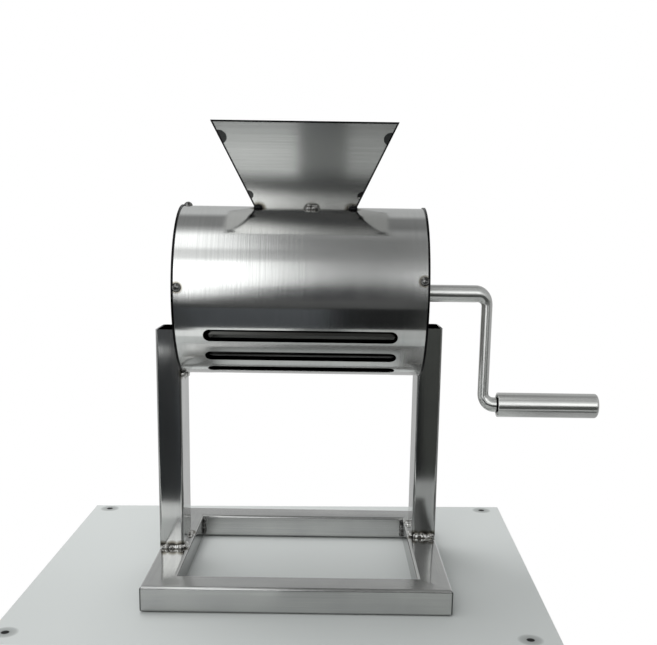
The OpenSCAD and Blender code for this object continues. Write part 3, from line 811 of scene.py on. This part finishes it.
def at_the_mouth(tree, place):
    """1 on the part of the rod that lies in the shade of the grip, from just outside its mouth, and 0 elsewhere."""
    part = add(tree, "ShaderNodeSeparateXYZ", {"Vector": place}).outputs
    return add(tree, "ShaderNodeMapRange", {
        "Value": part["X"], "From Min": mouth_x - 0.0017, "From Max": mouth_x - 0.0010,
    }).outputs[0]


darken(rod_steel, at_the_mouth, "#1a1a1b")
rod_mesh.materials.append(rod_steel)
rod = put_in_scene("crank_rod_bent", rod_mesh)
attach(rod, "rotor")
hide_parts("crank_shaft")

# GRIP
# A 25 mm sleeve that turns on the rod, its mouth rolled in to a lip and its far end capped and dressed round.
# Two pale nylon bushes inside run on the spindle.

grip_steel = satin_stainless("brushed_grip_sleeve", (0.05, 0.05, 0.05), "#e8e8e6", "#dededc", (0.22, 0.26),
                             tooth=0.01, across=scratched_round(1, 0, 0), smear=0.9)
for node in ("grip_sleeve", "grip_end_cap"):
    smooth_piece(node, grip_steel)
nylon, tree = bare_material("turned_nylon_bush")
place = add(tree, "ShaderNodeTexCoord").outputs["Object"]
lathe = add(tree, "ShaderNodeTexNoise", {"Vector": place, "Scale": 1 / 0.002, "Detail": 2.0})
cream = add(tree, "ShaderNodeMix", {
    "Factor": lathe.outputs["Fac"], "A": linear("#d8d4c4"), "B": linear("#e6e3d6"),
}, data_type="RGBA")
shader = add(tree, "ShaderNodeBsdfPrincipled", {"Base Color": cream.outputs["Result"], "Roughness": 0.5, "IOR": 1.53})
add(tree, "ShaderNodeOutputMaterial", {"Surface": shader.outputs[0]})
for node in ("grip_inner_bush", "grip_outer_bush"):
    smooth_piece(node, nylon)

# FLOOR AND LIGHT
# A pale sheet-topped table with a hole and its dimple painted in shade at each corner, dark flags low in front, a
# white backdrop, and a soft room that is bright to the front left and above, greyer to the right and dim low down.


def stage_sheet(name, corners, material, seen=False):
    """A flat sheet of the studio, which is no part of the object; the camera sees only the table."""
    mesh = bpy.data.meshes.new(name)
    mesh.from_pydata(corners, [], [(0, 1, 2, 3)])
    mesh.materials.append(material)
    sheet = put_in_scene(name, mesh)
    sheet.visible_camera = seen


def matt_paint(name, shade, rough):
    """A plain matt surface of the studio."""
    material, tree = bare_material(name)
    shader = add(tree, "ShaderNodeBsdfPrincipled", {
        "Base Color": linear(shade), "Roughness": rough, "Specular IOR Level": 0.2,
    })
    add(tree, "ShaderNodeOutputMaterial", {"Surface": shader.outputs[0]})
    return material


table_shade = "#cdd0cf"
table_top = matt_paint("pale_table_sheet", table_shade, 0.6)
tree = table_top.node_tree
place = add(tree, "ShaderNodeTexCoord").outputs["Object"]
# each corner hole is painted on the flat sheet: a black disc for the shade in the hole and a darker ring for the
# shading of its dimple
dimple_reach = 0.02
holes = ((-0.323, 0.196, 0.0), (0.144, 0.210, 0.0), (-0.329, -0.170, 0.0), (0.126, -0.171, 0.0))
dimple = add(tree, "ShaderNodeValToRGB", {"Fac": nearest(tree, place, [(hole, dimple_reach) for hole in holes])})
stops = dimple.color_ramp.elements
stops.remove(stops[1])
painted_dimple_shades = ((0.16, "#151515"), (0.20, "#9da09f"), (0.45, "#adb0af"), (0.60, table_shade))
for number, (where, shade) in enumerate(painted_dimple_shades):
    stop = stops[0] if number == 0 else stops.new(where)
    stop.position, stop.color = where, linear(shade)
shader = next(node for node in tree.nodes if node.type == "BSDF_PRINCIPLED")
tree.links.new(dimple.outputs["Color"], shader.inputs["Base Color"])
table_z, ground_z = -0.0002, -0.0005
table_corners = ((-0.342, -0.195), (0.152, -0.195), (0.167, 0.225), (-0.342, 0.209))
stage_sheet("table", [(x, y, table_z) for x, y in table_corners], table_top, True)

# the ground in front of the table, which only the steel sees: light on the left, dark in the middle, then grey
far_y = -0.19
for name, left, right, near_y, shade in (
    ("ground_far_left", -0.8, -0.225, -0.262, "#f4f6f5"),
    ("ground_left", -0.225, -0.098, -0.295, "#fcfefd"),
    ("ground_middle", -0.098, -0.03, -0.30, "#7e807f"),
    ("ground_right", -0.03, 0.8, -0.30, "#c6c8c7"),
):
    corners = [(left, near_y, ground_z), (right, near_y, ground_z), (right, far_y, ground_z), (left, far_y, ground_z)]
    stage_sheet(name, corners, matt_paint(name + "_paint", shade, 0.8))

# upright cloths in front of the object, four that stand on the floor and one that hangs
for name, left, right, foot, top, y, shade in (
    ("flag_left", -1.2, -0.262, -0.6, 0.158, -0.52, "#484a4c"),
    ("flag_hung_left", -0.6, -0.246, 0.19, 0.30, -0.35, "#646668"),
    ("flag_middle", -0.262, -0.05, -0.6, 0.110, -0.52, "#64676b"),
    ("flag_inner_right", -0.05, 0.092, -0.6, 0.125, -0.52, "#242526"),
    ("flag_right", 0.092, 1.2, -0.6, 0.225, -0.52, "#5e605d"),
):
    corners = [(left, y, foot), (right, y, foot), (right, y, top), (left, y, top)]
    stage_sheet(name, corners, matt_paint(name + "_cloth", shade, 0.9))

lit_spot = Vector((-0.1, 0.0, 0.05))
for name, size, watts, spot in (
    ("soft_key_lamp", 0.9, 9.5, (-0.36, 0.42, 1.3)),
    ("soft_fill_lamp", 0.8, 2.5, (-0.15, -1.1, 0.75)),
):
    lamp_data = bpy.data.lights.new(name, "AREA")
    lamp_data.shape = "DISK"
    lamp_data.size = size
    lamp_data.energy = watts
    lamp = put_in_scene(name, lamp_data)
    lamp.location = spot
    lamp.rotation_euler = (lit_spot - lamp.location).to_track_quat("-Z", "Y").to_euler()
    lamp.visible_glossy = False

world = bpy.data.worlds.new("soft_room")
bpy.context.scene.world = world
world.use_nodes = True
tree = world.node_tree
tree.nodes.clear()
way = add(tree, "ShaderNodeTexCoord").outputs["Generated"]
xyz = add(tree, "ShaderNodeSeparateXYZ", {"Vector": way}).outputs
towards = add(tree, "ShaderNodeMath", {0: xyz["Y"], 1: -1.0}, operation="MULTIPLY")
lift = add(tree, "ShaderNodeMath", {0: xyz["Z"], 1: towards.outputs[0]}, operation="ARCTAN2")
turn = add(tree, "ShaderNodeMapRange", {"Value": lift.outputs[0], "From Min": -math.pi, "From Max": math.pi})
brightest = 1.8
rooms = []


def cool_grey(bright):
    """The faintly cool light of the room at one brightness."""
    tone = bright / brightest
    return (0.98 * tone, tone, 0.995 * tone, 1.0)


for stops in (
    # (degrees above the front horizon, brightness), here for the left of the room
    ((-180, 0.30), (-50, 0.20), (-38, 0.20), (-29, 0.22), (-22, 0.40), (-16, 0.50), (-8, 0.9), (0, 1.6), (10, 1.8),
     (41, 1.8), (47, 1.0), (58, 0.9), (64, 1.45), (82, 1.5), (92, 0.55), (100, 0.27), (120, 0.24), (130, 0.6),
     (180, 0.45)),
    # its right
    ((-180, 0.25), (-50, 0.04), (-24, 0.04), (-14, 0.08), (-4, 0.07), (4, 0.06), (10, 0.085), (16, 0.18), (22, 0.28),
     (28, 0.34), (38, 0.32), (48, 0.25), (62, 0.20), (76, 0.20), (90, 0.32), (100, 0.18), (120, 0.22), (130, 0.5),
     (180, 0.45)),
    # the far right, beside the crank
    ((-180, 0.40), (-90, 0.45), (-62, 0.40), (-45, 0.14), (-27, 0.10), (-12, 0.20), (-3, 0.30), (8, 1.05), (14, 1.70),
     (26, 1.70), (37, 0.75), (54, 0.42), (75, 0.40), (100, 0.30), (130, 0.5), (180, 0.45)),
):
    ramp = add(tree, "ShaderNodeValToRGB", {"Fac": turn.outputs[0]})
    marks = ramp.color_ramp.elements
    marks.remove(marks[1])
    for number, (degrees, bright) in enumerate(stops):
        where = (degrees + 180) / 360
        mark = marks[0] if number == 0 else marks.new(where)
        mark.position, mark.color = where, cool_grey(bright)
    rooms.append(ramp.outputs["Color"])
# the bright left part reaches furthest to the right about 25 degrees up
over = add(tree, "ShaderNodeMath", {0: xyz["Z"], 1: 0.42}, operation="SUBTRACT")
slant = xyz["X"]
for part, pull in (("MAXIMUM", 0.13), ("MINIMUM", 0.3)):
    half = add(tree, "ShaderNodeMath", {0: over.outputs[0], 1: 0.0}, operation=part)
    bow = add(tree, "ShaderNodeMath", {0: half.outputs[0], 1: half.outputs[0]}, operation="MULTIPLY")
    slant = add(tree, "ShaderNodeMath", {0: bow.outputs[0], 1: pull, 2: slant}, operation="MULTIPLY_ADD").outputs[0]
side = add(tree, "ShaderNodeMapRange", {
    "Value": slant, "From Min": -0.018, "From Max": -0.083,
}, interpolation_type="SMOOTHSTEP")
room = add(tree, "ShaderNodeMix", {"Factor": side.outputs[0], "A": rooms[1], "B": rooms[0]}, data_type="RGBA")
# then the far right, and the side walls, pale on the left and dim on the right
for start, full, paint in (
    (0.122, 0.145, rooms[2]), (-0.42, -0.62, cool_grey(0.74)), (0.42, 0.62, cool_grey(0.44)),
):
    wall = add(tree, "ShaderNodeMapRange", {
        "Value": xyz["X"], "From Min": start, "From Max": full,
    }, interpolation_type="SMOOTHSTEP")
    room = add(tree, "ShaderNodeMix", {
        "Factor": wall.outputs[0], "A": room.outputs["Result"], "B": paint,
    }, data_type="RGBA")
# a dark stand in front of the object, level with the drum
stand = add(tree, "ShaderNodeVectorMath", {0: way, 1: (-0.028, -0.99, 0.02)}, operation="SUBTRACT")
squat = add(tree, "ShaderNodeVectorMath", {0: stand.outputs[0], 1: (1 / 0.075, 0.0, 1 / 0.17)}, operation="MULTIPLY")
reach = add(tree, "ShaderNodeVectorMath", {0: squat.outputs[0]}, operation="LENGTH")
front = add(tree, "ShaderNodeMath", {0: xyz["Y"], 1: 0.0}, operation="LESS_THAN")
shade = add(tree, "ShaderNodeMapRange", {"Value": reach.outputs["Value"], "From Min": 1.2, "From Max": 0.6})
stood = add(tree, "ShaderNodeMath", {0: shade.outputs[0], 1: front.outputs[0]}, operation="MULTIPLY")
room = add(tree, "ShaderNodeMix", {
    "Factor": stood.outputs[0], "A": room.outputs["Result"], "B": (0.010, 0.011, 0.013, 1.0),
}, data_type="RGBA")
# the camera sees plain white, and so in part does steel that mirrors the backdrop low behind the object
light = add(tree, "ShaderNodeBackground", {"Color": room.outputs["Result"], "Strength": brightest})
white = add(tree, "ShaderNodeBackground", {"Color": (1.0, 1.0, 1.0, 1.0), "Strength": 1.0})
rays = add(tree, "ShaderNodeLightPath").outputs
behind = add(tree, "ShaderNodeMapRange", {"Value": xyz["Y"], "From Min": 0.66, "From Max": 0.74})
low = add(tree, "ShaderNodeMapRange", {"Value": xyz["Z"], "From Min": 0.28, "From Max": 0.12, "To Max": 0.35})
back = add(tree, "ShaderNodeMath", {0: behind.outputs[0], 1: low.outputs[0]}, operation="MULTIPLY")
backdrop = add(tree, "ShaderNodeMath", {0: rays["Is Glossy Ray"], 1: back.outputs[0]}, operation="MULTIPLY")
plain = add(tree, "ShaderNodeMath", {0: rays["Is Camera Ray"], 1: backdrop.outputs[0]}, operation="MAXIMUM")
mixed = add(tree, "ShaderNodeMixShader", {0: plain.outputs[0], 1: light.outputs[0], 2: white.outputs[0]})
add(tree, "ShaderNodeOutputWorld", {"Surface": mixed.outputs[0]})

# CAMERA
# Just below the hopper's foot, a little under a metre away, tilted down 11 degrees and rolled under one degree.
# The lens is held in pixels of the picture, and it looks straight at a row below the picture's middle.

picture_w, picture_h, middle_row = 657, 645, 414.4
lens_px, tilt, roll, pan = 931.0, 0.1953, 0.0144, 0.0015
ahead = Vector((math.sin(pan) * math.cos(tilt), math.cos(pan) * math.cos(tilt), -math.sin(tilt)))
right = Vector((math.cos(pan), -math.sin(pan), 0.0))
up = right.cross(ahead)
right_rolled = right * math.cos(roll) + up * math.sin(roll)
up_rolled = up * math.cos(roll) - right * math.sin(roll)
camera_data = bpy.data.cameras.new("camera")
camera_data.sensor_width = 36.0
camera_data.lens = camera_data.sensor_width * lens_px / picture_w
camera_data.shift_y = (middle_row - 0.5 * picture_h) / picture_w
camera = put_in_scene("camera", camera_data)
turned = Matrix((right_rolled, up_rolled, -ahead)).transposed().to_4x4()
camera.matrix_world = Matrix.Translation((axis.x + 0.02586, -0.9236, 0.34515)) @ turned
bpy.context.scene.camera = camera
bpy.context.scene.view_settings.view_transform = "Standard"
